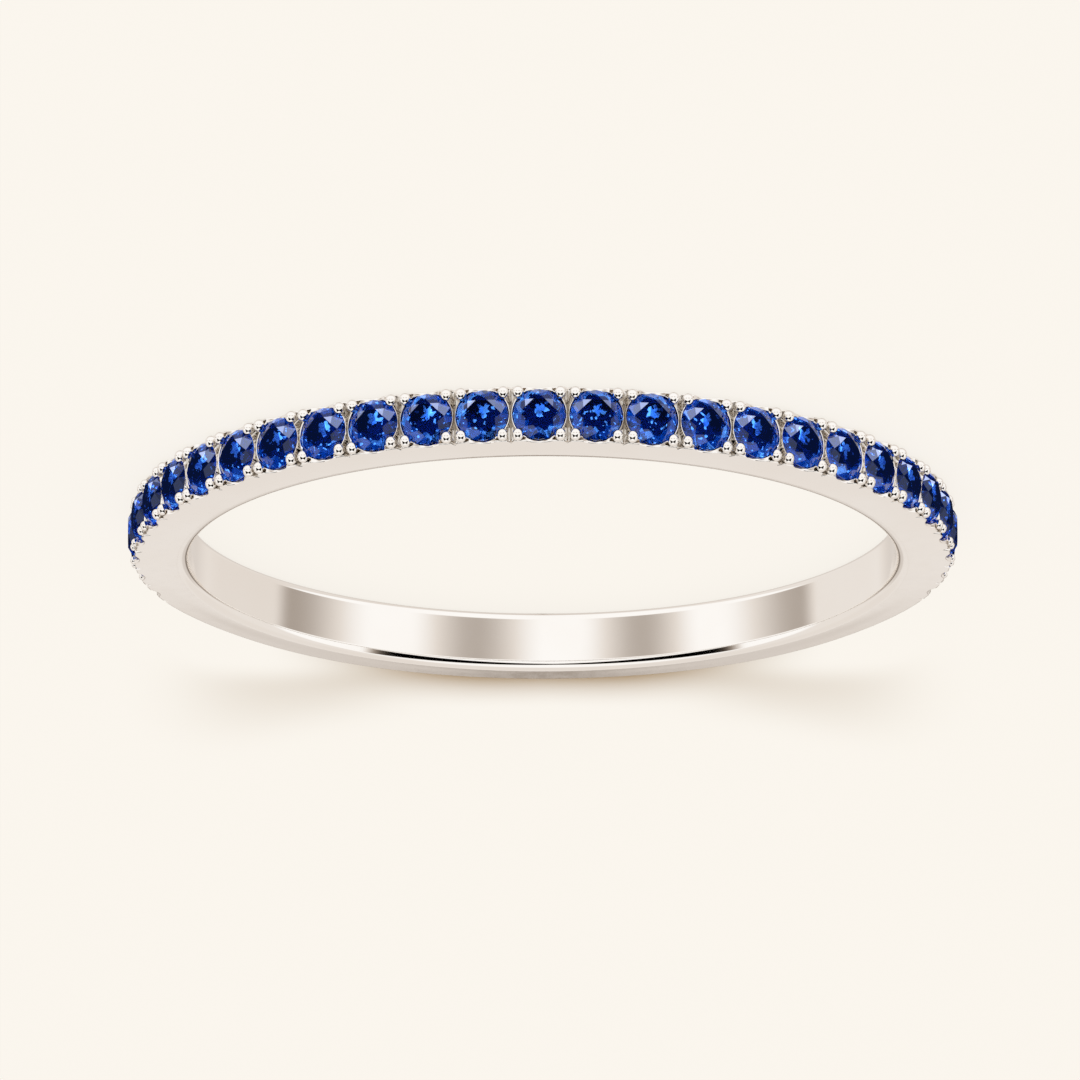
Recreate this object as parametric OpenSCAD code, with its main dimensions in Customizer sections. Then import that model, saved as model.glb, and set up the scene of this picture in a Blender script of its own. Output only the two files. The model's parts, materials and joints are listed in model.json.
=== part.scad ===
// Sapphire band ring: a thin white metal band with one row of round brilliants,
// each held by four ball beads.
// The finger hole runs along Z. The middle stone faces -Y.
// The origin is on the axis of the hole, at half the width of the band.
// All lengths are in millimetres.

/* [Band] */
// Inner diameter, from wall to wall of the finger hole
inner_diameter = 17.3; // [16.5:0.1:18.5]
// Width of the band along the finger
band_width = 1.46; // [1.44:0.02:1.7]
// Radius that eases both inner edges
edge_easing = 0.17; // [0.1:0.01:0.25]
// Thickness of the metal at the back of the shank
back_thickness = 0.95; // [0.9:0.05:1.1]
// Thickness of the metal along the row of stones
set_thickness = 1.35; // [1.3:0.05:1.6]
// Angle from the middle stone at which the band starts to thin out
taper_start = 92; // [90:1:95]
// Angle from the middle stone at which the band reaches its back thickness
taper_end = 129; // [122:1:140]

/* [Stones] */
// Number of stones in the row
stone_count = 27; // [9:2:27]
// Diameter of a stone at its girdle
stone_diameter = 1.29; // [1.24:0.01:1.3]
// Distance between the middles of neighbouring stones, at the girdle
stone_spacing = 1.398; // [1.398:0.002:1.43]
// Width of the table as a share of the girdle
table_share = 0.57; // [0.53:0.01:0.6]
// Height of the crown above the girdle
crown_height = 0.19; // [0.16:0.01:0.2]
// Thickness of the girdle
girdle_thickness = 0.03; // [0.02:0.01:0.04]
// Depth of the pavilion below the girdle
pavilion_depth = 0.55; // [0.5:0.01:0.58]
// Depth of the top of the girdle below the rails
girdle_drop = 0.04; // [0.04:0.01:0.06]
// Gap between a stone and the metal of its seat
seat_gap = 0.012; // [0.01:0.001:0.015]

/* [Setting] */
// Diameter of a ball bead
bead_diameter = 0.26; // [0.24:0.01:0.26]
// Distance of a bead from both centre lines of its stone
bead_offset = 0.52; // [0.52:0.005:0.54]
// Height of the middle of a bead above the rails
bead_lift = 0.07; // [0.07:0.01:0.1]
// Diameter of the post under a bead
post_diameter = 0.21; // [0.18:0.01:0.22]
// Depth of the scallop that bares the side of each stone
scallop_depth = 0.12; // [0.08:0.01:0.13]
// Radius of that scallop
scallop_radius = 0.5; // [0.4:0.05:0.55]
// Width of the groove between neighbouring stones
groove_width = 0.044; // [0.03:0.002:0.05]
// Depth of that groove
groove_depth = 0.15; // [0.1:0.01:0.2]

/* [Hidden] */
inner_radius = inner_diameter / 2;
back_radius = inner_radius + back_thickness;
rail_radius = inner_radius + set_thickness;
half_width = band_width / 2;
stone_radius = stone_diameter / 2;
seat_radius = stone_radius + seat_gap;
bead_radius = bead_diameter / 2;
stone_pitch = 2 * asin(stone_spacing / 2 / (rail_radius - girdle_drop));
// The outline between the two thicknesses is an arc of a circle shifted towards the stones
taper_shift = (pow(rail_radius, 2) - pow(back_radius, 2))
    / (2 * (rail_radius * cos(taper_start) - back_radius * cos(taper_end)));
taper_radius = sqrt(pow(rail_radius, 2) + pow(taper_shift, 2)
    - 2 * rail_radius * taper_shift * cos(taper_start));
// Excess length of the cutters past the metal
past = 0.5;
// Facets round a stone: eight mains, sixteen sides at the girdle
mains = 8;
main_step = 360 / mains;
// Share of the way from the table to the girdle that the star facets take
star_share = 0.5;
// Radius of the lower ends of the lower half facets, as a share of the girdle
lower_half_share = 0.24;
// Turn of a stone about its own axis
stone_turn = main_step / 2;
// Flat end at the bottom of a seat
seat_point = 0.04;
metal_colour = "#d8d1c8";
sapphire_colour = "#1b45b8";

function two_digits(number) = str(number < 10 ? "0" : "", number);
function stone_name(number) = str("stone_", two_digits(number));
// Angles along the ring are counted from the middle stone
function stone_angle(number) = (number - (stone_count + 1) / 2) * stone_pitch;
// Distance from the axis to the outside of the band
function outline_radius(angle) = min(rail_radius, taper_shift * cos(angle)
    + sqrt(pow(taper_radius, 2) - pow(taper_shift * sin(angle), 2)));
// Lean of the outside of the band away from the radius
function outline_lean(angle) = abs(angle) < taper_start ? 0
    : asin(taper_shift * sin(angle) / taper_radius);
function on_circle(radius, angle, height) = [radius * cos(angle), radius * sin(angle), height];

// Puts its children on the outside of the band, with their X pointing outwards
module on_outside(angle) {
    translate(on_circle(outline_radius(angle), angle - 90, 0))
        rotate([0, 0, angle - 90 + outline_lean(angle)]) children();
}

// The same, with their Z pointing outwards, and at the given height above the rails
module standing(angle, height) {
    on_outside(angle) translate([height, 0, 0]) rotate([0, 90, 0]) children();
}

// Outline of the band seen along the finger, without its hole
module outline() {
    circle(r = back_radius, $fn = 240);
    intersection() {
        circle(r = rail_radius, $fn = 240);
        translate([0, -taper_shift]) circle(r = taper_radius, $fn = 240);
    }
}

// The finger hole, opening out over the eased edges
module finger_hole() {
    easing_middle = half_width - edge_easing;
    rotate_extrude($fn = 240)
        difference() {
            union() {
                translate([0, -half_width - past])
                    square([inner_radius, band_width + 2 * past]);
                for (side = [-1, 1])
                    translate([inner_radius, side > 0 ? easing_middle : -half_width - past])
                        square([edge_easing, edge_easing + past]);
            }
            for (side = [-1, 1])
                translate([inner_radius + edge_easing, side * easing_middle])
                    circle(r = edge_easing, $fn = 48);
        }
}

// The conical seat of one stone, open upwards
module seat() {
    seat_floor = -girdle_thickness - seat_gap;
    rotate_extrude($fn = 48)
        polygon([
            [0, seat_floor - pavilion_depth],
            [seat_point, seat_floor - pavilion_depth],
            [seat_radius, seat_floor],
            [seat_radius, past],
            [0, past]
        ]);
}

// The hollow across the rails that bares the side of a stone between its beads
module scallop() {
    translate([scallop_radius - scallop_depth, 0, 0])
        cylinder(r = scallop_radius, h = band_width + 2 * past, center = true, $fn = 48);
}

// The groove across the bridge between two stones, and at either end of the row
module groove() {
    mouth = groove_width / 2 * (groove_depth + past) / groove_depth;
    translate([0, 0, -half_width - past])
        linear_extrude(band_width + 2 * past)
            polygon([
                [-groove_depth, 0],
                [past, -mouth],
                [past, mouth]
            ]);
}

// Puts its children at the four corners of a stone
module at_beads() {
    for (across = [-1, 1], along = [-1, 1])
        translate([across * bead_offset, along * bead_offset, 0]) children();
}

// The metal of the ring: shank, rails, seats, bridges and beads in one piece
module band() {
    color(metal_colour) {
        difference() {
            union() {
                linear_extrude(band_width, center = true) outline();
                for (number = [1:stone_count])
                    standing(stone_angle(number), -past)
                        at_beads()
                            cylinder(d = post_diameter, h = past + bead_lift, $fn = 24);
            }
            finger_hole();
            for (number = [1:stone_count]) {
                standing(stone_angle(number), -girdle_drop) seat();
                on_outside(stone_angle(number)) scallop();
            }
            for (gap = [0:stone_count])
                on_outside(stone_angle(gap + 0.5)) groove();
        }
        for (number = [1:stone_count])
            standing(stone_angle(number), bead_lift)
                at_beads()
                    sphere(r = bead_radius, $fn = 24);
    }
}

// A round brilliant whose Z zero is the top of its girdle
module brilliant() {
    half_step = main_step / 2;
    table_radius = stone_radius * table_share;
    crown_slope = crown_height / (stone_radius - table_radius);
    table_edge = table_radius * cos(half_step);
    star_radius = table_edge + star_share * (stone_radius - table_edge);
    star_height = crown_height - (star_radius * cos(half_step) - table_radius) * crown_slope;
    pavilion_slope = pavilion_depth / stone_radius;
    culet = -girdle_thickness - pavilion_depth;
    lower_radius = stone_radius * lower_half_share;
    lower_height = culet + lower_radius * cos(half_step) * pavilion_slope;
    points = concat(
        [for (k = [0:mains - 1]) on_circle(table_radius, k * main_step, crown_height)],
        [for (k = [0:mains - 1]) on_circle(star_radius, k * main_step + half_step, star_height)],
        [for (k = [0:2 * mains - 1]) on_circle(stone_radius, k * half_step, 0)],
        [for (k = [0:2 * mains - 1]) on_circle(stone_radius, k * half_step, -girdle_thickness)],
        [for (k = [0:mains - 1]) on_circle(lower_radius, k * main_step + half_step, lower_height)],
        [[0, 0, culet]]
    );
    star = mains;
    rim = 2 * mains;
    under = 4 * mains;
    lower = 6 * mains;
    tip = 7 * mains;
    function next(k, n) = (k + 1) % n;
    function before(k) = (k + mains - 1) % mains;
    faces = concat(
        [[for (k = [mains - 1:-1:0]) k]],
        [for (k = [0:mains - 1]) [k, next(k, mains), star + k]],
        [for (k = [0:mains - 1]) [k, star + k, rim + 2 * k, star + before(k)]],
        [for (k = [0:mains - 1]) [star + k, rim + 2 * k + 1, rim + 2 * k]],
        [for (k = [0:mains - 1]) [star + k, rim + (2 * k + 2) % (2 * mains), rim + 2 * k + 1]],
        [for (k = [0:2 * mains - 1])
            [rim + k, rim + next(k, 2 * mains), under + next(k, 2 * mains), under + k]],
        [for (k = [0:mains - 1]) [lower + k, under + 2 * k, under + 2 * k + 1]],
        [for (k = [0:mains - 1]) [lower + k, under + 2 * k + 1, under + (2 * k + 2) % (2 * mains)]],
        [for (k = [0:mains - 1]) [tip, lower + before(k), under + 2 * k, lower + k]]
    );
    polyhedron(points = points, faces = faces, convexity = 2);
}

// One stone of the row, in its seat
module stone(number) {
    color(sapphire_colour)
        standing(stone_angle(number), -girdle_drop)
            rotate([0, 0, stone_turn])
                brilliant();
}

band();
for (number = [1:stone_count])
    stone(number);
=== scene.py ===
"""A thin white gold ring with one row of round sapphires, each held by four ball beads."""

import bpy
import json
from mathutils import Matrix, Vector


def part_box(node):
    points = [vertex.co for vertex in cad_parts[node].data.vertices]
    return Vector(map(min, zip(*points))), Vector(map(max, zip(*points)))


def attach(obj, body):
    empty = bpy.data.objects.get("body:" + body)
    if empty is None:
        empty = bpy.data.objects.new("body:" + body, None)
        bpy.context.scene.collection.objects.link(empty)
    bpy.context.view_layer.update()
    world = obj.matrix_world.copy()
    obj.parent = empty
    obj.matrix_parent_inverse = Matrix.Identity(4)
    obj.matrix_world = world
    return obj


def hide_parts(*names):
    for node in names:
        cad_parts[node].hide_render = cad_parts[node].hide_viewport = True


bl_info = {
    "name": "Sapphire Band Ring",
    "version": (1, 0, 0),
    "blender": (4, 5, 0),
    "location": "View3D > Sidebar > Ring",
    "description": "Finishes a white gold band, its ball beads and its row of cut sapphires",
    "category": "Add Mesh",
}

import json
import math

import bpy
from mathutils import Matrix, Vector

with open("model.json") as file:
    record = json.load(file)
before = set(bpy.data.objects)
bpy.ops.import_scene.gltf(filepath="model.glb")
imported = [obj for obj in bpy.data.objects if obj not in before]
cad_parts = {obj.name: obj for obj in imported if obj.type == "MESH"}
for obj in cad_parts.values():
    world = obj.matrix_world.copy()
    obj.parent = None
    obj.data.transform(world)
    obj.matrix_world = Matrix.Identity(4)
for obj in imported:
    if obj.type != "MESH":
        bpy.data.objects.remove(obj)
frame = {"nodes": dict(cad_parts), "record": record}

MM = 0.001
TINY = 1e-7
DEGREE = math.radians(1.0)
ROW_STEP = 8.047 * DEGREE
STONES = sorted(name for name in frame["nodes"] if name.startswith("stone_"))
BORE = next(mount for mount in frame["record"]["mounts"] if mount["kind"] == "bore")
BAND_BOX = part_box("band")
# Tint of the light that the crown facets mirror
LAMP_TINT = (0.58, 0.68, 1.0)
# Shift of a stone's painted table shade and painted star highlight towards the row's middle, in mm for each
# stone from that middle
TABLE_SHADE_SHIFT = 0.02
STAR_HIGHLIGHT_SHIFT = 0.028


def length(name, description, millimetres):
    """A length, given in millimetres and kept in metres."""
    return bpy.props.FloatProperty(
        name=name,
        description=description,
        default=millimetres * MM,
        precision=6,
        unit="LENGTH",
        subtype="DISTANCE",
    )


def angle(name, description, degrees):
    """An angle, given in degrees and kept in radians."""
    return bpy.props.FloatProperty(
        name=name,
        description=description,
        default=degrees * DEGREE,
        unit="ROTATION",
        subtype="ANGLE",
    )


def share(name, description, value, highest=1.0):
    """A plain number from nought to a highest value."""
    return bpy.props.FloatProperty(
        name=name,
        description=description,
        default=value,
        min=0.0,
        max=highest,
        precision=4,
        subtype="FACTOR",
    )


def colour(name, description, red, green, blue):
    """A linear colour."""
    return bpy.props.FloatVectorProperty(
        name=name,
        description=description,
        default=(red, green, blue),
        size=3,
        min=0.0,
        subtype="COLOR",
    )


class RingSizes(bpy.types.PropertyGroup):
    """Sizes of the metal. Heights are measured outwards from the rails."""

    rail_radius: length("Rail Radius", "From the axis to the rails along the row", 10.0)
    hole_radius: length("Hole Radius", "Radius of the finger hole", BORE["dims"]["r_mm"])
    half_width: length("Half Width", "Half the width of the band", BAND_BOX[1].z / MM)
    back_drop: length("Back Drop", "How much thinner the back of the shank is", 0.4)
    drop_start: angle("Drop Start", "Angle from the middle stone where the band starts to thin", 86.0)
    drop_end: angle("Drop End", "Angle from the middle stone where it reaches its thin part", 132.0)
    fade_top: length("Fade Top", "Height above which the metal follows the outside", -0.35)
    easing: length("Easing", "Radius of both inner edges", 0.22)
    edge_round: length("Edge Round", "Radius of the polished outer edges", 0.02)
    rim_fall: length("Rim Fall", "How much the sides of the band fall towards the outside", 0.022)
    wall_crown: length("Wall Crown", "Fall of the finger hole towards its edges", 0.003)
    spacing: length("Stone Spacing", "Length of rail that one stone takes", 1.4045)
    seat_radius: length("Seat Radius", "Radius of a seat at the girdle", 0.657)
    seat_wall_foot: length("Seat Wall Foot", "Height at which a seat starts to narrow", -0.082)
    seat_foot: length("Seat Foot", "Height of the bottom of a seat", -0.632)
    seat_point: length("Seat Point", "Radius of the bottom of a seat", 0.04)
    seat_edge: length("Seat Edge", "Width of the cut edge round a seat", 0.012)
    seat_wall: length("Seat Wall", "Width of the thin wall round a stone", 0.032)
    pocket_depth: length("Pocket Depth", "Depth of the pocket between four beads", 0.13)
    notch_start: length("Notch Start", "Where the notch between two stones starts", 0.615)
    scallop_depth: length("Scallop Depth", "Depth of the hollow beside a stone", 0.12)
    scallop_radius: length("Scallop Radius", "Radius of the hollow beside a stone", 0.5)
    groove_half: length("Groove Half", "Half the width of the groove between stones", 0.022)
    groove_depth: length("Groove Depth", "Depth of the groove between stones", 0.15)
    bead_radius: length("Bead Radius", "Radius of a ball bead", 0.142)
    bead_lift: length("Bead Lift", "Height of the middle of a bead", 0.055)
    bead_offset: length("Bead Offset", "From a bead to both middle lines of its stone", 0.52)
    bead_aside: length("Bead Aside", "How much further out across the band a bead stands", 0.012)
    bead_stretch: share("Bead Stretch", "Length of a bead across the band for its width", 1.12, 2.0)
    neck_radius: length("Neck Radius", "Radius of the post under a bead", 0.085)
    neck_foot: length("Neck Foot", "Height of the foot of that post", -0.14)
    bead_stray: length("Bead Stray", "How far a hand raised bead strays from its place", 0.01)
    bead_shrink: share("Bead Shrink", "How much smaller the beads get towards the row's ends", 0.4)


class RingFinish(bpy.types.PropertyGroup):
    """Colours and finishes of the metal and the stones, with the painted shade and painted highlights among
    them.
    """

    gold: colour("White Gold", "Colour of the polished metal", 0.93, 0.905, 0.875)
    gold_warm: colour("Warm Gold", "Colour of its warmer patches", 0.915, 0.88, 0.84)
    # Painted shade: the colour that the metal deep between the stones is darkened to.
    crevice_shade: colour("Crevice", "Colour of the metal deep between the stones", 0.5, 0.46, 0.41)
    gold_roughness: share("Gold Roughness", "Roughness of the polish", 0.06)
    # Painted light and shade: facets are tinted between the darkest, shaded tint and the palest, lit tint.
    sapphire: colour("Sapphire", "Tint of a stone's darkest facets", 0.0, 0.0006, 0.02)
    sapphire_lit_facets: colour("Pale Sapphire", "Tint of its palest facets", 0.0005, 0.0042, 0.048)
    # Painted shade: the dark tint painted over the table round the star highlight.
    sapphire_table_shade: colour("Sapphire Table", "Tint of its table round the star", 0.0, 0.00001, 0.0015)
    # Painted highlight: the pale tint of the star, of its glints and of a few facets.
    sapphire_star_highlight: colour("Sapphire Star", "Tint of the star inside its table", 0.05, 0.22, 0.9)
    sapphire_depth: colour("Sapphire Depth", "Light that a stone lets through", 0.24, 0.67, 0.96)
    glow: colour("Glow", "Colour of the light that stands for what a real stone returns", 0.03, 0.15, 1.0)
    glow_strength: share("Glow Strength", "Strength of that light", 0.27)
    absorption: share("Absorption", "Light taken up in one metre", 950.0, 20000.0)
    sapphire_index: share("Refractive Index", "Refractive index of sapphire", 1.77, 3.0)


class RingStudio(bpy.types.PropertyGroup):
    """Camera, floor and light."""

    azimuth: angle("Azimuth", "Camera's angle round the ring from its middle stone", -0.5)
    elevation: angle("Elevation", "Camera's angle above the floor", 17.27)
    view_width: length("View Width", "Width of the picture", 26.44)
    view_right: length("View Right", "Middle of the picture, to its right of the axis", -0.0661)
    view_down: length("View Down", "Middle of the picture, down it from the axis", 0.1248)
    camera_distance: length("Camera Distance", "From the camera to the ring", 300.0)
    floor_size: length("Floor Size", "Half the width of the floor", 1500.0)
    floor_colour: colour("Floor Colour", "Colour of the floor", 0.9, 0.86, 0.797)
    backdrop: colour("Backdrop", "Colour behind the floor", 0.956, 0.913, 0.847)
    ambient: share("Ambient", "Light from all round on the floor", 0.08, 10.0)
    sun_strength: share("Sun Strength", "Strength of the low light on the floor", 11.3, 100.0)
    sun_elevation: angle("Sun Elevation", "Height of that light", 16.0)
    sun_size: angle("Sun Size", "Angle that it fills", 8.0)


class Field:
    """A socket of a graph. Python's operators on it add Math nodes."""

    def __init__(self, graph, socket):
        self.graph = graph
        self.socket = socket

    def other(self, name):
        """Another output of the same node."""
        return Field(self.graph, self.socket.node.outputs[name])

    def __add__(self, value):
        return self.graph.maths("ADD", self, value)

    __radd__ = __add__

    def __sub__(self, value):
        return self.graph.maths("SUBTRACT", self, value)

    def __rsub__(self, value):
        return self.graph.maths("SUBTRACT", value, self)

    def __mul__(self, value):
        return self.graph.maths("MULTIPLY", self, value)

    __rmul__ = __mul__

    def __truediv__(self, value):
        return self.graph.maths("DIVIDE", self, value)

    def __rtruediv__(self, value):
        return self.graph.maths("DIVIDE", value, self)

    def __neg__(self):
        return self.graph.maths("MULTIPLY", self, -1.0)

    def __abs__(self):
        return self.graph.maths("ABSOLUTE", self)

    def rise(self, low, high):
        """Goes smoothly from 0 at low to 1 at high."""
        return self.graph.add(
            "ShaderNodeMapRange",
            {"interpolation_type": "SMOOTHSTEP"},
            {"Value": self, "From Min": low, "From Max": high},
        )

    def ramp(self, low, high):
        """Goes straight from 0 at low to 1 at high."""
        return self.graph.add(
            "ShaderNodeMapRange", {}, {"Value": self, "From Min": low, "From Max": high}
        )

    def bump(self, middle, reach):
        """Is 1 at the middle and falls smoothly to 0 at the reach on either side."""
        return 1.0 - abs(self - middle).rise(0.0, reach)

    def between(self, low, high, soft):
        """Is 1 between low and high, with edges of a given softness."""
        return self.rise(low - soft, low + soft) * (1.0 - self.rise(high - soft, high + soft))


class Graph:
    """Adds nodes to one node tree."""

    def __init__(self, tree):
        self.tree = tree
        tree.nodes.clear()

    def add(self, kind, settings=None, inputs=None, output=0):
        """Makes a node, its settings first, then its inputs' values or links. Returns one output."""
        node = self.tree.nodes.new(kind)
        for name, value in (settings or {}).items():
            if name == "stops":
                self.set_stops(node.color_ramp, value)
            else:
                setattr(node, name, value)
        for key, value in (inputs or {}).items():
            if isinstance(value, Field):
                self.tree.links.new(value.socket, node.inputs[key])
            else:
                node.inputs[key].default_value = value
        return Field(self, node.outputs[output]) if node.outputs else None

    def set_stops(self, ramp, stops):
        """Gives a colour ramp its stops, as (position, colour) pairs."""
        while len(ramp.elements) < len(stops):
            ramp.elements.new(1.0)
        for element, (position, stop_colour) in zip(ramp.elements, stops):
            element.position = position
            element.color = (*stop_colour, 1.0)

    def maths(self, operation, *values):
        """One Math node on numbers or fields."""
        return self.add("ShaderNodeMath", {"operation": operation}, dict(enumerate(values)))

    def vector_maths(self, operation, *values, output=0):
        """One Vector Math node on vectors or fields."""
        settings = {"operation": operation}
        return self.add("ShaderNodeVectorMath", settings, dict(enumerate(values)), output)

    def vector(self, **parts):
        """A vector from its parts X, Y and Z."""
        return self.add("ShaderNodeCombineXYZ", {}, parts)

    def parts(self, vector):
        """The three parts of a vector."""
        first = self.add("ShaderNodeSeparateXYZ", {}, {"Vector": vector})
        return first, first.other("Y"), first.other("Z")

    def mix_colour(self, factor, first, second):
        """Mixes two colours."""
        colours = [value if isinstance(value, Field) else (*value, 1.0) for value in (first, second)]
        return self.add(
            "ShaderNodeMix",
            {"data_type": "RGBA"},
            {"Factor": factor, 6: colours[0], 7: colours[1]},
            output=2,
        )

    def noise(self, vector, scale, detail=2.0, roughness=0.5):
        """Noise from 0 to 1 at so many cells a metre."""
        return self.add(
            "ShaderNodeTexNoise",
            {},
            {"Vector": vector, "Scale": scale, "Detail": detail, "Roughness": roughness},
        )


def new_material(name):
    """An empty node material and its graph."""
    material = bpy.data.materials.new(name)
    material.use_nodes = True
    return material, Graph(material.node_tree)


def end_material(material, graph, shader, **volume):
    """Links a shader, and a volume if there is one, to a material's output."""
    graph.add("ShaderNodeOutputMaterial", {}, {"Surface": shader, **volume})
    return material


def object_position(graph):
    """Object coordinates, in metres."""
    return graph.add("ShaderNodeTexCoord", output="Object")


def white_gold(finish, name, roughness):
    """Polished white gold: a warm mirror with faint wheel marks, a slow waviness and painted shade deep
    between the stones.
    """
    material, graph = new_material(name)
    place = object_position(graph)
    clouds = graph.noise(place, 420.0, 3.0)
    polish = graph.noise(place, 2600.0, 2.0)
    aside, behind, across = graph.parts(place)
    outwards, around = polar(graph, behind, aside)
    wheel = graph.vector(X=across * 60.0, Y=around * 0.5, Z=clouds * 0.4)
    marks = graph.noise(wheel, 260.0, 3.0, 0.65)
    # Painted shade: the metal's colour is darkened below the rails, deep between the stones, but not on the
    # flat sides.
    crevice_shade = (outwards / MM).between(9.3, 9.955, 0.02) * (1.0 - (abs(across) / MM).rise(0.61, 0.64))
    gold = graph.mix_colour(clouds.ramp(0.35, 0.7), finish.gold, finish.gold_warm)
    height = clouds * 0.5 + polish * 0.12 + marks * 0.03
    relief = graph.add(
        "ShaderNodeBump", {}, {"Strength": 0.05, "Distance": 0.05 * MM, "Height": height}
    )
    shader = graph.add(
        "ShaderNodeBsdfPrincipled",
        {},
        {
            "Base Color": graph.mix_colour(crevice_shade * 0.7, gold, finish.crevice_shade),
            "Metallic": 1.0,
            "Roughness": roughness + polish.ramp(0.3, 0.8) * 0.03 + marks.ramp(0.45, 0.8) * 0.02,
            "Normal": relief,
        },
    )
    return end_material(material, graph, shader)


def cut_sapphire(sizes, finish):
    """Deep blue sapphire: every facet is painted lighter or darker, the table has painted shade round a
    painted star highlight, and the stone glows, most in that star.
    """
    material, graph = new_material("cut_sapphire")
    place = object_position(graph)
    aside, behind, up = graph.parts(place)
    turn = graph.maths("ARCTAN2", aside, -behind) / ROW_STEP
    number = graph.maths("ROUND", turn)
    along = (turn - number) * (sizes.spacing / MM)
    across = up / MM
    # Painted light and shade: each facet's tint runs from the shaded tint to the lit one by its painted
    # light level.
    facet_light = painted_facet_light(graph, number)
    painted_tint = graph.mix_colour(facet_light.ramp(0.45, 0.67), finish.sapphire, finish.sapphire_lit_facets)
    # Painted highlight: a few facets are pushed towards the star highlight's tint.
    painted_tint = graph.mix_colour(facet_light.rise(0.6, 0.64) * 0.16, painted_tint, finish.sapphire_star_highlight)
    # Painted shade: a dark toothed patch over the table, moved towards the row's middle on stones away from
    # it.
    table_shade = painted_table_shade(graph, place, along + TABLE_SHADE_SHIFT * number, across)
    painted_tint = graph.mix_colour(table_shade, painted_tint, finish.sapphire_table_shade)
    # Painted highlight: a pale star with glints inside that table shade, moved likewise.
    star = painted_star_highlight(graph, place, along + STAR_HIGHLIGHT_SHIFT * number, across)
    painted_tint = graph.mix_colour(star, painted_tint, finish.sapphire_star_highlight)
    # Painted light: the stones glow with an emission that stands in for light a real stone returns. It is
    # faint everywhere, stronger in the star, and stronger on stones away from the row's middle.
    outer = 0.25 + 0.75 * abs(number).rise(1.0, 4.0)
    glow = graph.mix_colour(outer * (0.1 + 0.9 * star), (0.0, 0.0, 0.0), finish.glow)
    inside = graph.add("ShaderNodeNewGeometry", output="Backfacing")
    surface = graph.add(
        "ShaderNodeBsdfPrincipled",
        {},
        {
            "Base Color": graph.mix_colour(inside, painted_tint, (1.0, 1.0, 1.0)),
            "Roughness": 0.0,
            "IOR": finish.sapphire_index,
            "Transmission Weight": 1.0,
            "Emission Color": glow,
            "Emission Strength": finish.glow_strength,
        },
    )
    depth = graph.add(
        "ShaderNodeVolumeAbsorption",
        {},
        {"Color": (*finish.sapphire_depth, 1.0), "Density": finish.absorption},
    )
    return end_material(material, graph, surface, Volume=depth)


def painted_facet_light(graph, number):
    """A painted light level from 0 to 1 for each facet, much the same on every stone: the higher it is, the
    paler the facet is painted.
    """
    normal = graph.add("ShaderNodeNewGeometry", output="True Normal")
    bearing = number * ROW_STEP
    sine = graph.maths("SINE", bearing)
    cosine = graph.maths("COSINE", bearing)
    beside = graph.vector(X=cosine, Y=sine)
    sideways = graph.vector_maths("DOT_PRODUCT", normal, beside, output="Value")
    tilt = graph.parts(normal)[2]
    facet = graph.vector(X=sideways, Y=tilt, Z=number * 0.06)
    return graph.noise(facet, 5.0, 1.0)


def painted_table_shade(graph, place, along, across):
    """Painted shade: a toothed dark patch over a stone's table."""
    wander = graph.noise(place, 5200.0, 1.0) - 0.5
    off_middle, round_middle = polar(graph, along, across)
    bite = graph.maths("COSINE", round_middle - 1.0).ramp(0.0, 1.0)
    teeth = 0.42 + 0.1 * abs(graph.maths("SINE", round_middle * 4.0 + 0.3)) - 0.07 * bite
    return 1.0 - (off_middle - teeth - wander * 0.16).rise(-0.008, 0.008)


def painted_star_highlight(graph, place, along, across):
    """Painted highlight: the pale ragged star inside that painted shade, and a few painted glints round it.
    """
    off_star, round_star = polar(graph, along + 0.02, across + 0.08)
    ragged = graph.noise(place, 6500.0, 1.0) - 0.5
    points = 0.08 + 0.1 * abs(graph.maths("SINE", round_star * 2.5 + 0.6)) + ragged * 0.4
    glints = graph.noise(place, 7600.0, 1.0).rise(0.68, 0.7) * (0.7 - off_star.rise(0.2, 0.5) * 0.7)
    sparks = graph.noise(place, 12000.0, 0.0).rise(0.72, 0.75) * off_star.rise(0.4, 0.46) * 0.8
    return graph.maths("MAXIMUM", 1.0 - (off_star - points).rise(-0.01, 0.01), glints + sparks)


def polar(graph, along, across):
    """Distance from a middle and the angle round it."""
    return graph.maths("SQRT", along * along + across * across), graph.maths("ARCTAN2", across, along)


def floor_paper(studio):
    """Matt cream paper with the faintest mottling."""
    material, graph = new_material("cream_paper")
    mottle = graph.noise(object_position(graph), 90.0, 4.0)
    pale = tuple(studio.floor_colour)
    dull = tuple(channel * 0.994 for channel in pale)
    shader = graph.add(
        "ShaderNodeBsdfDiffuse",
        {},
        {"Color": graph.mix_colour(mottle, pale, dull), "Roughness": 0.0},
    )
    return end_material(material, graph, shader)


def mesh_object(name, vertices, faces, smooth=True):
    """A new object at the origin from points and faces."""
    mesh = bpy.data.meshes.new(name)
    mesh.from_pydata(vertices, [], faces)
    mesh.validate()
    mesh.shade_smooth() if smooth else mesh.shade_flat()
    made = bpy.data.objects.new(name, mesh)
    bpy.context.scene.collection.objects.link(made)
    return made


def skin(rows, closed):
    """Points and faces of quads between rows of equally many points."""
    points = [point for row in rows for point in row]
    count = len(rows[0])
    faces = []
    for row in range(len(rows) - 1):
        for step in range(count if closed else count - 1):
            near = row * count
            far = near + count
            after = (step + 1) % count
            faces.append((near + step, near + after, far + after, far + step))
    return points, faces


def join(*parts):
    """Several lists of points and faces as one."""
    points = []
    faces = []
    for more_points, more_faces in parts:
        start = len(points)
        points += more_points
        faces += [tuple(start + corner for corner in face) for face in more_faces]
    return points, faces


def scallop_half(sizes):
    """Half the length of the hollow beside a stone."""
    rise = sizes.scallop_radius - sizes.scallop_depth
    return math.sqrt(sizes.scallop_radius**2 - rise**2)


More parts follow.
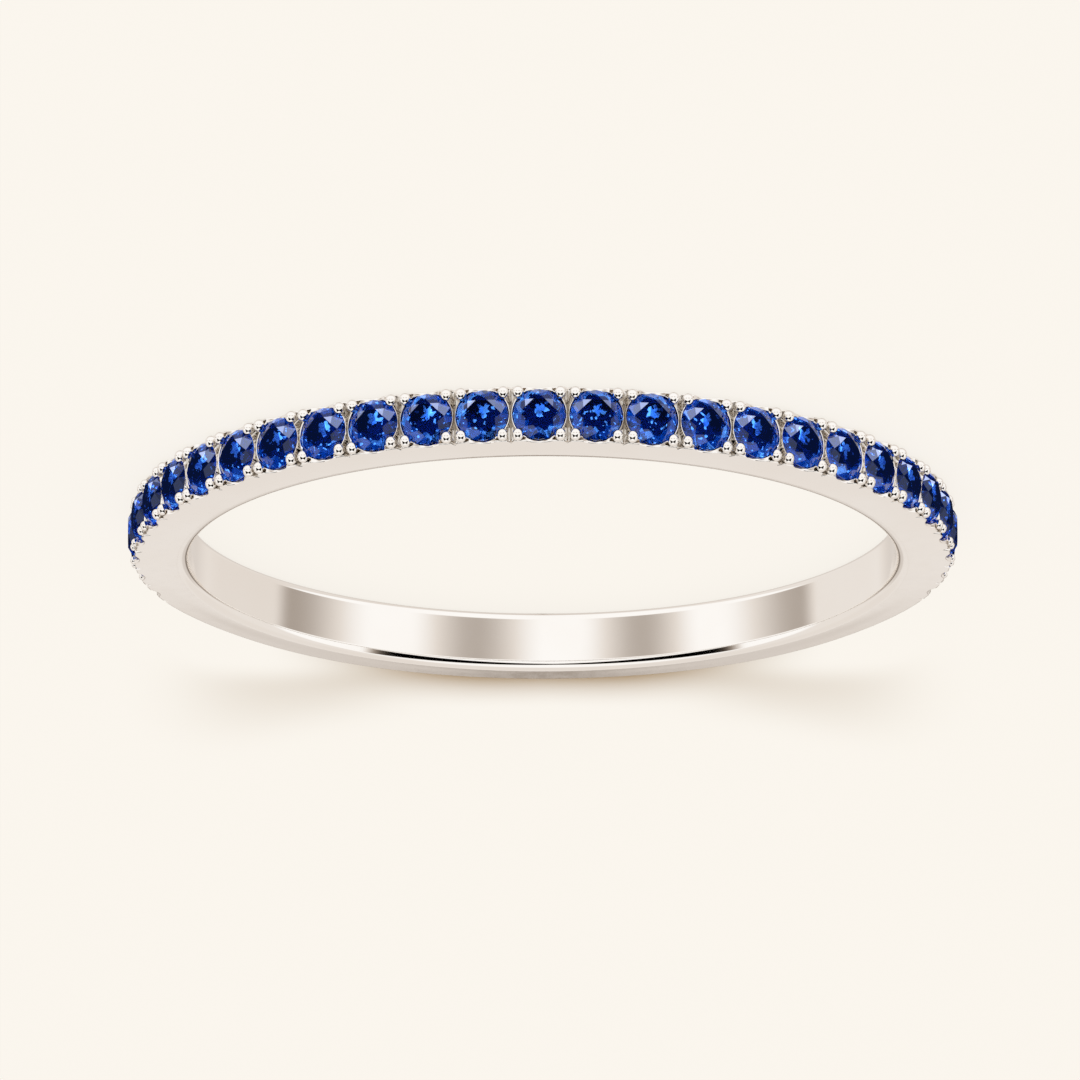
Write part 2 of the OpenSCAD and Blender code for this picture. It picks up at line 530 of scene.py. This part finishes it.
def along_stations(sizes):
    """Places along one stone's stretch of rail: close together in the scallop and at the groove."""
    hollow = scallop_half(sizes)
    end = sizes.spacing / 2
    notch = sizes.notch_start
    half = [hollow * step / 5 for step in range(6)]
    half += [hollow + (notch - hollow) * step / 4 for step in (1, 2, 3, 4)]
    half += [notch + (end - notch) * step / 3 for step in (1, 2, 3)]
    return [-place for place in reversed(half[1:])] + half


def across_stations(sizes):
    """Places across the flat of the rails."""
    flat = flat_half(sizes)
    return [flat * (step / 8 - 1) for step in range(17)]


def flat_half(sizes):
    """Half the width of the flat of the rails."""
    return sizes.half_width - sizes.rim_fall - sizes.edge_round


def rail_height(sizes, along):
    """Height of the metal: down in the notch at the ends, hollowed in the scallop."""
    if abs(along) > sizes.notch_start:
        reach = sizes.spacing / 2 - sizes.notch_start
        return -sizes.groove_depth * (abs(along) - sizes.notch_start) / reach
    return scallop_height(sizes, along)


def scallop_height(sizes, along):
    """Height of the metal beside a stone."""
    if abs(along) > scallop_half(sizes):
        return 0.0
    rise = sizes.scallop_radius - sizes.scallop_depth
    return rise - math.sqrt(sizes.scallop_radius**2 - along**2)


def seat_radius_at(sizes, height):
    """Radius of a seat: straight near the girdle, then a cone."""
    depth = max(0.0, sizes.seat_wall_foot - height)
    narrowing = (sizes.seat_radius - sizes.seat_point) / (sizes.seat_wall_foot - sizes.seat_foot)
    return sizes.seat_radius - depth * narrowing


def seat_meeting(sizes, along, across):
    """Where the line inwards from a point of the outline meets the seat."""
    flat = flat_half(sizes)
    hollow = scallop_half(sizes)
    on_rail = abs(across) > flat - TINY
    if on_rail and abs(along) < hollow + TINY:
        radius = seat_radius_at(sizes, rail_height(sizes, along))
        return along, math.copysign(math.sqrt(radius**2 - along**2), across)
    corner = math.pi / 4
    if on_rail:
        first = math.acos(hollow / sizes.seat_radius)
        turn = first + (corner - first) * (abs(along) - hollow) / (sizes.spacing / 2 - hollow)
    else:
        turn = corner * abs(across) / flat
    return (
        math.copysign(sizes.seat_radius * math.cos(turn), along),
        math.copysign(sizes.seat_radius * math.sin(turn), across),
    )


def cell_outline(sizes):
    """Outline of one stone's stretch of rail, seen from outside, anticlockwise."""
    along = along_stations(sizes)
    across = across_stations(sizes)
    low = [(place, across[0]) for place in along[:-1]]
    right = [(along[-1], place) for place in across[:-1]]
    high = [(-place, across[-1]) for place in along[:-1]]
    left = [(along[0], -place) for place in across[:-1]]
    return low + right + high + left


def cell_top(sizes):
    """The rails round one seat, the pockets at its corners and the seat itself, laid out flat."""
    outline = cell_outline(sizes)
    end = sizes.spacing / 2
    shoulder = end - sizes.groove_half
    flat = flat_half(sizes)
    hollow = scallop_half(sizes)
    rings = [[] for _ in range(9)]
    for along, across in outline:
        on_rail = abs(across) > flat - TINY
        height = rail_height(sizes, along) if on_rail else -sizes.groove_depth
        rings[0].append((along, across, height))
        inner_along = along
        if abs(along) > hollow + TINY:
            shrink = (shoulder - hollow) / (end - hollow)
            inner_along = math.copysign(hollow + (abs(along) - hollow) * shrink, along)
        inner = Vector((inner_along, across * (flat - sizes.groove_half) / flat))
        meet = Vector(seat_meeting(sizes, along, across))
        room = (inner - meet).length
        towards = (inner - meet).normalized()
        lip = meet + towards * sizes.seat_edge
        wall = meet + towards * min(sizes.seat_wall, room * 0.7)
        depth = 0.0
        if abs(along) > hollow + TINY:
            depth = sizes.pocket_depth * min(1.0, max(0.0, room - sizes.seat_wall) / (0.1 * MM))
        at_edge = max(0.0, min(1.0, (abs(inner.y) / MM - 0.6) / 0.07))
        inner_height = min(rail_height(sizes, inner.x), -depth) * (1.0 - at_edge)
        inner_height += rail_height(sizes, inner.x) * at_edge
        rings[1].append((inner.x, inner.y, inner_height))
        pocket = inner.lerp(wall, 0.5)
        rings[2].append((pocket.x, pocket.y, scallop_height(sizes, pocket.x) - depth))
        for ring, place in ((3, wall), (4, lip)):
            rings[ring].append((place.x, place.y, scallop_height(sizes, place.x)))
        outward = meet.normalized()
        lip_foot = scallop_height(sizes, meet.x) - sizes.seat_edge
        wall_foot = min(sizes.seat_wall_foot, lip_foot - sizes.seat_edge)
        half_depth = (sizes.seat_wall_foot + sizes.seat_foot) / 2
        for ring, height in ((5, lip_foot), (6, wall_foot), (7, half_depth), (8, sizes.seat_foot)):
            place = outward * seat_radius_at(sizes, height)
            rings[ring].append((place.x, place.y, height))
    points, faces = skin(rings, closed=True)
    tip = len(points)
    points.append((0.0, 0.0, sizes.seat_foot))
    count = len(outline)
    start = tip - count
    faces += [(start + step, start + (step + 1) % count, tip) for step in range(count)]
    return points, faces


def side_at(sizes, height):
    """How far out across the band its side is at a height."""
    reached = 1.0 - height / (sizes.hole_radius - sizes.rail_radius + sizes.easing)
    return sizes.half_width - sizes.rim_fall * (0.45 * reached + 0.55 * reached**1.8)


def side_profile(sizes, top):
    """Section from one rail's edge round the finger hole to the other, as across and height."""
    hole = sizes.hole_radius - sizes.rail_radius
    flat = flat_half(sizes)
    round_steps = 3
    easing_steps = 8
    half = []
    for step in range(round_steps + 1):
        turn = math.pi / 2 * step / round_steps
        height = top - sizes.edge_round * (1 - math.cos(turn))
        half.append((flat + (side_at(sizes, height) - flat) * math.sin(turn), height))
    half.append((side_at(sizes, top - 1.7 * sizes.edge_round), top - 1.7 * sizes.edge_round))
    easing_top = hole + sizes.easing
    for height in (-0.24 * MM, -0.4 * MM, -0.56 * MM, -0.72 * MM, -0.88 * MM, -1.02 * MM):
        half.append((side_at(sizes, height), height))
    for step in range(easing_steps + 1):
        turn = math.pi / 2 * step / easing_steps
        across = sizes.half_width - sizes.easing + sizes.easing * math.cos(turn)
        half.append((across, easing_top - sizes.easing * math.sin(turn)))
    reach = sizes.half_width - sizes.easing
    wall = [(reach * place, hole) for place in (0.66, 0.33, 0.0, -0.33, -0.66)]
    profile = half + wall + [(-across, height) for across, height in reversed(half)]
    return [
        (across, height + sizes.wall_crown * (across / reach) ** 2 if abs(across) <= reach else height)
        for across, height in profile
    ]


def cell_sides(sizes):
    """The flat sides, eased edges and finger hole under one stone, laid out flat."""
    columns = []
    for along in along_stations(sizes):
        profile = side_profile(sizes, rail_height(sizes, along))
        columns.append([(along, across, height) for across, height in profile])
    rows = [list(row) for row in zip(*columns)]
    return skin(rows, closed=False)


def shank(sizes, count):
    """The plain back of the band, laid out flat, from the row's end to its start."""
    start = sizes.spacing * count / 2
    end = math.tau * sizes.rail_radius - start
    steps = 96
    ease = sizes.spacing / 2 - sizes.notch_start
    stations = [start, start + ease]
    stations += [start + (end - start) * step / steps for step in range(1, steps)]
    stations += [end - ease, end]
    columns = []
    for along in stations:
        top = -sizes.groove_depth if along in (start, end) else 0.0
        profile = side_profile(sizes, top)
        profile += [(across, top) for across in across_stations(sizes)[1:]]
        columns.append([(along, across, height) for across, height in profile])
    rows = [list(row) for row in zip(*columns)]
    return skin(rows, closed=False)


BEND_INPUTS = ("Rail Radius", "Back Drop", "Drop Start", "Drop End", "Fade Foot", "Fade Top")


def new_tree(name, inputs):
    """An empty geometry tree with named inputs and one geometry output."""
    tree = bpy.data.node_groups.new(name, "GeometryNodeTree")
    kinds = {"whole": "Int", "number": "Float"}
    for input_name, kind in inputs:
        socket_type = "NodeSocket" + kinds.get(kind, kind.capitalize())
        tree.interface.new_socket(name=input_name, in_out="INPUT", socket_type=socket_type)
    tree.interface.new_socket(name="Geometry", in_out="OUTPUT", socket_type="NodeSocketGeometry")
    graph = Graph(tree)
    return tree, graph, graph.add("NodeGroupInput")


def bend_tree():
    """Bends a flat strip round the finger: X runs round it, Y across it and Z outwards."""
    inputs = [("Geometry", "geometry")] + [(name, "number") for name in BEND_INPUTS]
    tree, graph, entry = new_tree("bend_round_finger", inputs)
    rail, drop, start, end, foot, top = [entry.other(name) for name in BEND_INPUTS]
    along, across, height = graph.parts(graph.add("GeometryNodeInputPosition"))
    turn = along / rail
    sine = graph.maths("SINE", turn)
    cosine = graph.maths("COSINE", turn)
    from_front = graph.maths("ARCCOSINE", cosine)
    reached = from_front.ramp(start, end)
    thinning = drop * reached * reached * (3.0 - 2.0 * reached)
    slope = drop * 6.0 * reached * (1.0 - reached) / (end - start) * graph.maths("SIGN", sine)
    follows = height.ramp(foot, top)
    radius = rail + height - thinning * follows
    lean = height * slope / rail * follows
    bent = graph.vector(X=radius * sine + lean * cosine, Y=lean * sine - radius * cosine, Z=across)
    moved = graph.add("GeometryNodeSetPosition", {}, {"Geometry": entry, "Position": bent})
    graph.add("NodeGroupOutput", {}, {"Geometry": moved})
    return tree


def bend(graph, entry, tree, geometry):
    """Adds the bend to a graph whose entry has the same named sizes."""
    inputs = {name: entry.other(name) for name in BEND_INPUTS}
    inputs["Geometry"] = geometry
    return graph.add("GeometryNodeGroup", {"node_tree": tree}, inputs)


def stone_line(graph, entry):
    """Points along a straight line, one for each stone."""
    count = entry.other("Count")
    spacing = entry.other("Spacing")
    first = graph.vector(X=(1.0 - count) * spacing / 2.0)
    step = graph.vector(X=spacing)
    return graph.add(
        "GeometryNodeMeshLine",
        {"mode": "OFFSET"},
        {"Count": count, "Start Location": first, "Offset": step},
    )


def row_tree(name, original, wholes, numbers):
    """An empty tree for an object that is repeated along the row and bent."""
    inputs = [("Geometry", "geometry"), (original, "object")]
    inputs += [(whole, "whole") for whole in wholes]
    inputs += [(number, "number") for number in (*numbers, *BEND_INPUTS)]
    return new_tree(name, inputs + [("Metal", "material")])


def copies(graph, points, original, size=(1.0, 1.0, 1.0)):
    """Real copies of a geometry on points."""
    inputs = {"Points": points, "Instance": original, "Scale": size}
    placed = graph.add("GeometryNodeInstanceOnPoints", {}, inputs)
    return graph.add("GeometryNodeRealizeInstances", {}, {"Geometry": placed})


def seat_row_tree(bend_group):
    """Repeats one setting along the row, joins the plain shank, bends both and welds them."""
    numbers = ("Spacing", "Weld", "Sharp Angle")
    tree, graph, entry = row_tree("row_of_seats", "Setting", ["Count"], numbers)
    setting = graph.add(
        "GeometryNodeObjectInfo", {}, {"Object": entry.other("Setting")}, output="Geometry"
    )
    row = copies(graph, stone_line(graph, entry), setting)
    strip = graph.add("GeometryNodeJoinGeometry")
    for part in (row, entry):
        graph.tree.links.new(part.socket, strip.socket.node.inputs[0])
    ring = bend(graph, entry, bend_group, strip)
    ring = graph.add(
        "GeometryNodeMergeByDistance", {}, {"Geometry": ring, "Distance": entry.other("Weld")}
    )
    fold = graph.add("GeometryNodeInputMeshEdgeAngle")
    sharp = graph.add(
        "FunctionNodeCompare",
        {"data_type": "FLOAT", "operation": "GREATER_THAN"},
        {0: fold, 1: entry.other("Sharp Angle")},
    )
    ring = graph.add(
        "GeometryNodeSetShadeSmooth",
        {"domain": "EDGE"},
        {"Geometry": ring, "Selection": sharp, "Shade Smooth": False},
    )
    finish_tree(graph, ring, entry)
    return tree


def bead_row_tree(bend_group):
    """Puts one bead at the four corners of every stone, each a little out of place."""
    numbers = ("Spacing", "Distance Along", "Distance Across", "Stray", "End Shrink")
    tree, graph, entry = row_tree("row_of_beads", "Bead", ["Count", "Seed"], numbers)
    corners = graph.add(
        "GeometryNodeMeshGrid",
        {},
        {
            "Size X": entry.other("Distance Along"),
            "Size Y": entry.other("Distance Across"),
            "Vertices X": 2,
            "Vertices Y": 2,
        },
    )
    places = copies(graph, stone_line(graph, entry), corners)
    stray = entry.other("Stray")
    reach = graph.vector(X=stray, Y=stray)
    back = graph.vector_maths("MULTIPLY", reach, (-1.0, -1.0, -1.0))
    shift = graph.add(
        "FunctionNodeRandomValue",
        {"data_type": "FLOAT_VECTOR"},
        {"Min": back, "Max": reach, "Seed": entry.other("Seed")},
    )
    places = graph.add("GeometryNodeSetPosition", {}, {"Geometry": places, "Offset": shift})
    bead = graph.add("GeometryNodeObjectInfo", {}, {"Object": entry.other("Bead")}, output="Geometry")
    along = graph.parts(graph.add("GeometryNodeInputPosition"))[0]
    size = 1.0 - entry.other("End Shrink") * abs(along).ramp(0.011, 0.015)
    beads = copies(graph, places, bead, size)
    finish_tree(graph, bend(graph, entry, bend_group, beads), entry)
    return tree


def finish_tree(graph, geometry, entry):
    """Ends a tree with real geometry and its material."""
    real = graph.add("GeometryNodeRealizeInstances", {}, {"Geometry": geometry})
    inputs = {"Geometry": real, "Material": entry.other("Metal")}
    finished = graph.add("GeometryNodeSetMaterial", {}, inputs)
    graph.add("NodeGroupOutput", {}, {"Geometry": finished})


def give_inputs(modifier, tree, values):
    """Sets a modifier's inputs by the identifiers of its tree's sockets."""
    modifier.node_group = tree
    for item in tree.interface.items_tree:
        if item.item_type == "SOCKET" and item.in_out == "INPUT" and item.name in values:
            modifier[item.identifier] = values[item.name]


def bend_values(sizes):
    """Values of the bend's inputs."""
    foot = sizes.hole_radius + sizes.easing - sizes.rail_radius
    values = (sizes.rail_radius, sizes.back_drop, sizes.drop_start, sizes.drop_end, foot, sizes.fade_top)
    return dict(zip(BEND_INPUTS, values))


def bake(piece, templates=()):
    """Turns an object's modifiers into its plain mesh and deletes the objects they copied."""
    view = bpy.context.evaluated_depsgraph_get()
    mesh = bpy.data.meshes.new_from_object(piece.evaluated_get(view))
    piece.modifiers.clear()
    piece.data = mesh
    mesh.name = piece.name
    for template in templates:
        bpy.data.objects.remove(template)
    if not mesh.polygons:
        raise RuntimeError(f"{piece.name} came out empty")


def lathe(profile, steps):
    """A closed turned shape from (radius, height) pairs that start and end on its axis."""
    rings = []
    for radius, height in profile[1:-1]:
        turns = [math.tau * step / steps for step in range(steps)]
        rings.append([(radius * math.cos(turn), radius * math.sin(turn), height) for turn in turns])
    points, faces = skin(rings, closed=True)
    foot = len(points)
    points += [(0.0, 0.0, profile[0][1]), (0.0, 0.0, profile[-1][1])]
    last = foot - steps
    for step in range(steps):
        after = (step + 1) % steps
        faces.append((foot, after, step))
        faces.append((foot + 1, last + step, last + after))
    return points, faces


class RING_OT_band(bpy.types.Operator):
    """Make the polished band with its seats, scallops and grooves"""

    bl_idname = "ring.band"
    bl_label = "Polished Band"

    def execute(self, context):
        sizes = context.scene.ring_sizes
        finish = context.scene.ring_finish
        setting = mesh_object("setting_template", *join(cell_top(sizes), cell_sides(sizes)))
        band = mesh_object("polished_band", *shank(sizes, len(STONES)))
        metal = white_gold(finish, "polished_white_gold", finish.gold_roughness)
        values = bend_values(sizes) | {
            "Setting": setting,
            "Count": len(STONES),
            "Spacing": sizes.spacing,
            "Weld": 0.001 * MM,
            "Sharp Angle": 35.0 * DEGREE,
            "Metal": metal,
        }
        row = band.modifiers.new("row_of_seats", "NODES")
        give_inputs(row, seat_row_tree(bend_tree()), values)
        shading = band.modifiers.new("flat_faces_stay_flat", "WEIGHTED_NORMAL")
        shading.keep_sharp = True
        bake(band, [setting])
        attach(band, "root")
        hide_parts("band")
        return {"FINISHED"}


class RING_OT_beads(bpy.types.Operator):
    """Make the ball beads that hold the stones"""

    bl_idname = "ring.beads"
    bl_label = "Ball Beads"

    def execute(self, context):
        sizes = context.scene.ring_sizes
        finish = context.scene.ring_finish
        ball = sizes.bead_radius
        waist = -math.acos(sizes.neck_radius / ball)
        profile = [(0.0, sizes.neck_foot), (sizes.neck_radius, sizes.neck_foot)]
        rings = 11
        for step in range(rings):
            turn = waist + (math.pi / 2 - waist) * step / rings
            profile.append((ball * math.cos(turn), sizes.bead_lift + ball * math.sin(turn)))
        profile.append((0.0, sizes.bead_lift + ball))
        points, faces = lathe(profile, 20)
        points = [(along, across * sizes.bead_stretch, height) for along, across, height in points]
        template = mesh_object("bead_template", points, faces)
        beads = mesh_object("ball_beads", [], [])
        values = bend_values(sizes) | {
            "Bead": template,
            "Count": len(STONES),
            "Seed": 5,
            "Spacing": sizes.spacing,
            "Distance Along": 2 * sizes.bead_offset,
            "Distance Across": 2 * (sizes.bead_offset + sizes.bead_aside),
            "Stray": sizes.bead_stray,
            "End Shrink": sizes.bead_shrink,
            "Metal": white_gold(finish, "burnished_bead_gold", finish.gold_roughness * 0.6),
        }
        row = beads.modifiers.new("row_of_beads", "NODES")
        give_inputs(row, bead_row_tree(bend_tree()), values)
        bake(beads, [template])
        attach(beads, "root")
        return {"FINISHED"}


class RING_OT_stones(bpy.types.Operator):
    """Give the cut stones their sapphire"""

    bl_idname = "ring.stones"
    bl_label = "Cut Sapphires"

    def execute(self, context):
        sapphire = cut_sapphire(context.scene.ring_sizes, context.scene.ring_finish)
        for name in STONES:
            stone = frame["nodes"][name]
            if not stone.material_slots:
                raise RuntimeError(f"{name} has no material slot")
            for slot in stone.material_slots:
                slot.material = sapphire
        return {"FINISHED"}


def warm_grey(graph, level):
    """Light of a cream studio by its brightness: white at 1, taupe in half shade, black at 0."""
    stops = [
        (0.0, (0.0, 0.0, 0.0)),
        (0.3, (0.09, 0.07, 0.055)),
        (0.6, (0.34, 0.285, 0.24)),
        (0.72, (0.53, 0.475, 0.43)),
        (0.88, (0.83, 0.776, 0.727)),
        (1.0, (1.06, 1.055, 1.05)),
    ]
    return graph.add("ShaderNodeValToRGB", {"stops": stops}, {"Fac": level})


def room_light(graph, studio, way):
    """Light on the metal: a pale room with soft boxes, flags and the dark gaps between them."""
    azimuth, height = turn_and_height(graph, way)
    aside = abs(azimuth - 1.0)
    low = height.between(-23.0, -11.0, 3.0)
    flags = azimuth.bump(-22.5, 23.0) * 0.3 + azimuth.bump(32.0, 21.0) * 0.3
    corner = aside.rise(58.0, 92.0) * (0.345 - 0.025 * azimuth.rise(-10.0, 10.0))
    corner = corner * (1.0 - aside.rise(92.0, 101.0))
    behind = 0.125 - 0.03 * azimuth.rise(-10.0, 10.0)
    behind = behind + (0.08 - behind) * aside.rise(130.0, 165.0)
    upper = height.rise(0.0, 10.0)
    behind = aside.rise(92.0, 101.0) * (behind * (1.0 - upper) + upper * 0.1)
    behind = behind + upper * aside.rise(120.0, 150.0) * (0.015 * height.rise(17.8, 19.5))
    tilt, turn, _ = facing_facet(graph, studio, way)
    off_middle = abs(turn - 1.5)
    gaps = 1.0 - (abs(tilt - 30.0 + 0.08 * off_middle) - 2.6 - 0.42 * off_middle).rise(-1.5, 1.5)
    gaps = gaps * (1.0 - off_middle.rise(27.0, 33.0))
    horizon = height.between(-7.0, 6.0, 4.0) * aside.rise(110.0, 150.0) * 0.4
    off_back = abs(graph.maths("WRAP", azimuth - 179.5, 180.0, -180.0))
    dusk = (1.0 - height.rise(14.8, 16.5)) * (1.0 - off_back.rise(20.0, 40.0)) * 0.095
    dusk = dusk + (1.0 - height.rise(15.0, 17.5)) * (1.0 - off_back.rise(0.0, 0.34)) * 0.25
    level = 1.0 - (flags + corner) * low - behind - horizon - dusk
    level = level * (1.0 - gaps)
    return warm_grey(graph, level)


def stone_light(graph, way):
    """Light that comes back out of the stones: a bright room with dark furniture."""
    furniture = graph.noise(way, 4.0, 1.0)
    return 2.4 - furniture.rise(0.46, 0.56) * 0.6 + (1.0 - furniture.rise(0.29, 0.33)) * 1.8


def facet_lamps(graph, studio, way):
    """Small lamps along the row of stones, each mirrored by one kind of crown facet.

    A lamp is given by the tilt of that facet in degrees, its place in one step of the row, and its strength.
    """
    tilt, turn, phase = facing_facet(graph, studio, way)
    fade = 1.0 - abs(turn).rise(40.0, 80.0) * 0.95
    level = 0.02
    for at_tilt, at_phase, strength in (
        (-14.9, -0.08, 9.5 - 5.5 * turn.rise(24.0, 30.0) - 3.0 * turn.rise(43.0, 48.0)),
        (-14.9, 0.08, 2.0 + 2.5 * turn.rise(-30.0, -24.0) + 4.5 * turn.rise(-8.0, 0.0)),
        (-21.4, 0.46, 9.0),
        (-21.4, -0.46, 3.0),
        (-12.5, 0.0, 4.5 - 3.5 * abs(turn).rise(22.0, 30.0)),
        (-40.1, -0.2, 2.0),
        (-40.1, 0.2, 3.0),
        (12.5, 0.0, 0.8),
        (31.5, -0.17, 1.4),
        (33.1, 0.21, 1.4),
        (21.4, 0.46, 1.4),
        (7.4, -0.03, 0.5),
        (-31.5, 0.17, 0.8),
    ):
        near = 1.0 - abs(phase - at_phase).rise(0.06, 0.085)
        level = level + tilt.between(at_tilt - 1.0, at_tilt + 1.0, 0.2) * near * fade * strength
    channels = {name: level * part for name, part in zip(("Red", "Green", "Blue"), LAMP_TINT)}
    return graph.add("ShaderNodeCombineColor", {}, channels)


def facing_facet(graph, studio, way):
    """Tilt and turn of the facet that mirrors a direction to the camera, and its place in the row."""
    ahead = camera_axes(studio)[2] * -1.0
    halfway = graph.vector_maths("NORMALIZE", graph.vector_maths("SUBTRACT", way, tuple(ahead)))
    turn, tilt = turn_and_height(graph, halfway)
    phase = graph.maths("FRACT", turn / (ROW_STEP / DEGREE) + 100.5) - 0.5
    return tilt, turn, phase


def turn_and_height(graph, way):
    """Angle of a direction round the ring from its middle stone, and above the floor, in degrees."""
    aside, behind, up = graph.parts(way)
    turn = graph.maths("ARCTAN2", aside, -behind) / DEGREE
    return turn, graph.maths("ARCSINE", up) / DEGREE


def make_world(scene, studio):
    """The room for reflections and refractions, and plain light for the floor."""
    world = bpy.data.worlds.new("studio_room")
    scene.world = world
    world.use_nodes = True
    world.cycles.sampling_method = "NONE"
    graph = Graph(world.node_tree)
    way = graph.add("ShaderNodeTexCoord", output="Generated")
    ray = graph.add("ShaderNodeLightPath", output="Is Camera Ray")
    light = graph.mix_colour(
        ray.other("Is Singular Ray"), room_light(graph, studio, way), facet_lamps(graph, studio, way)
    )
    light = graph.mix_colour(ray.other("Is Transmission Ray"), light, stone_light(graph, way))
    light = graph.mix_colour(ray.other("Is Diffuse Ray"), light, [studio.ambient] * 3)
    light = graph.mix_colour(ray, light, studio.backdrop)
    shader = graph.add("ShaderNodeBackground", {}, {"Color": light, "Strength": 1.0})
    graph.add("ShaderNodeOutputWorld", {}, {"Surface": shader})


def make_floor(studio):
    """A wide sheet of cream paper, left out of reflections."""
    reach = studio.floor_size
    level = BAND_BOX[0].z
    corners = ((-1, -1), (1, -1), (1, 1), (-1, 1))
    points = [(reach * aside, reach * behind, level) for aside, behind in corners]
    floor = mesh_object("floor", points, [(0, 1, 2, 3)], smooth=False)
    floor.data.materials.append(floor_paper(studio))
    floor.visible_glossy = False
    floor.visible_transmission = False
    return floor


def flag_gauze():
    """Gauze that dims the low light: dense behind the middle of the shank, then two faint wings."""
    material, graph = new_material("flag_gauze")
    sideways, _, up = graph.parts(object_position(graph))
    aside = abs(sideways) / MM
    height = (up - BAND_BOX[0].z) / MM
    top = 1.475 + 0.032 * aside
    wall = (1.0 - aside.rise(1.4, 7.0)) * (1.0 - (height - top).rise(-0.02, 0.02))
    wing_height = 1.3 + 0.027 * aside * aside
    wings = aside.rise(1.5, 6.0) * (1.0 - aside.rise(7.0, 10.5)) * height.bump(wing_height, 0.5)
    density = graph.maths("MAXIMUM", wall, wings * 0.45)
    clear = graph.add("ShaderNodeBsdfTransparent")
    warm = graph.add("ShaderNodeBsdfTransparent", {}, {"Color": (0.29, 0.15, 0.0, 1.0)})
    shader = graph.add("ShaderNodeMixShader", {}, {0: density, 1: clear, 2: warm})
    return end_material(material, graph, shader)


def make_flag(sizes):
    """A curved gauze flag at the back of the ring that only the low light meets."""
    radius = sizes.rail_radius - sizes.back_drop
    foot = BAND_BOX[0].z
    top = foot + 5 * MM
    steps = 64
    rows = []
    for level in (foot, top):
        turns = [math.pi * step / steps for step in range(steps + 1)]
        rows.append([(radius * math.cos(turn), radius * math.sin(turn), level) for turn in turns])
    flag = mesh_object("shadow_flag", *skin(rows, closed=False))
    flag.data.materials.append(flag_gauze())
    for kind in ("camera", "diffuse", "glossy", "transmission", "volume_scatter"):
        setattr(flag, f"visible_{kind}", False)
    return flag


def only(name, member):
    """A collection of one object, for a light to be linked to."""
    group = bpy.data.collections.new(name)
    group.objects.link(member)
    return group


def make_sun(studio, floor, flag):
    """A low soft light that falls on the floor alone and is stopped by the flag alone."""
    light = bpy.data.lights.new("low_light", "SUN")
    light.energy = studio.sun_strength
    light.angle = studio.sun_size
    sun = bpy.data.objects.new("low_light", light)
    towards = Vector((0.0, math.cos(studio.sun_elevation), -math.sin(studio.sun_elevation)))
    sun.rotation_mode = "QUATERNION"
    sun.rotation_quaternion = towards.to_track_quat("-Z", "Y")
    bpy.context.scene.collection.objects.link(sun)
    sun.light_linking.receiver_collection = only("lit_by_low_light", floor)
    sun.light_linking.blocker_collection = only("stops_low_light", flag)


def camera_axes(studio):
    """The picture's right, its down and the way back to the camera."""
    round_ring = studio.azimuth
    above = studio.elevation
    ahead = Vector((-math.sin(round_ring), math.cos(round_ring), 0.0))
    right = Vector((-math.cos(round_ring), -math.sin(round_ring), 0.0))
    down = ahead * math.sin(above) + Vector((0.0, 0.0, math.cos(above)))
    return right, down, right.cross(-down)


def make_camera(scene, studio):
    """A camera without perspective, turned half a turn about its own axis."""
    data = bpy.data.cameras.new("camera")
    data.type = "ORTHO"
    data.ortho_scale = studio.view_width
    data.clip_start = 0.01
    data.clip_end = 2.0
    camera = bpy.data.objects.new("camera", data)
    scene.collection.objects.link(camera)
    scene.camera = camera
    right, down, back = camera_axes(studio)
    place = right * studio.view_right + down * studio.view_down + back * studio.camera_distance
    axes = Matrix((right, -down, back)).transposed()
    camera.matrix_world = Matrix.Translation(place) @ axes.to_4x4()


class RING_OT_studio(bpy.types.Operator):
    """Make the floor, the light and the camera"""

    bl_idname = "ring.studio"
    bl_label = "Studio"

    def execute(self, context):
        scene = context.scene
        studio = scene.ring_studio
        make_world(scene, studio)
        floor = make_floor(studio)
        make_sun(studio, floor, make_flag(scene.ring_sizes))
        make_camera(scene, studio)
        scene.view_settings.view_transform = "Standard"
        scene.cycles.max_bounces = 24
        scene.cycles.glossy_bounces = 16
        scene.cycles.transmission_bounces = 20
        scene.cycles.caustics_reflective = False
        scene.cycles.caustics_refractive = False
        scene.cycles.blur_glossy = 0.0
        return {"FINISHED"}


GROUPS = {"ring_sizes": RingSizes, "ring_finish": RingFinish, "ring_studio": RingStudio}
OPERATORS = (RING_OT_band, RING_OT_beads, RING_OT_stones, RING_OT_studio)


class RING_PT_panel(bpy.types.Panel):
    """Lists the ring's sizes, finishes and steps"""

    bl_label = "Sapphire Band Ring"
    bl_idname = "RING_PT_panel"
    bl_space_type = "VIEW_3D"
    bl_region_type = "UI"
    bl_category = "Ring"

    def draw(self, context):
        layout = self.layout
        for operator in OPERATORS:
            layout.operator(operator.bl_idname)
        for group_name, kind in GROUPS.items():
            box = layout.box()
            for name in kind.__annotations__:
                box.prop(getattr(context.scene, group_name), name)


CLASSES = (*GROUPS.values(), *OPERATORS, RING_PT_panel)


def register():
    """Adds the classes and the scene's settings."""
    for item in CLASSES:
        bpy.utils.register_class(item)
    for name, kind in GROUPS.items():
        setattr(bpy.types.Scene, name, bpy.props.PointerProperty(type=kind))


def unregister():
    """Takes them away again."""
    for name in GROUPS:
        delattr(bpy.types.Scene, name)
    for item in reversed(CLASSES):
        bpy.utils.unregister_class(item)


def main():
    """Makes the whole ring."""
    register()
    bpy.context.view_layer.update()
    bpy.ops.ring.band()
    bpy.ops.ring.beads()
    bpy.ops.ring.stones()
    bpy.ops.ring.studio()


if __name__ == "__main__":
    main()
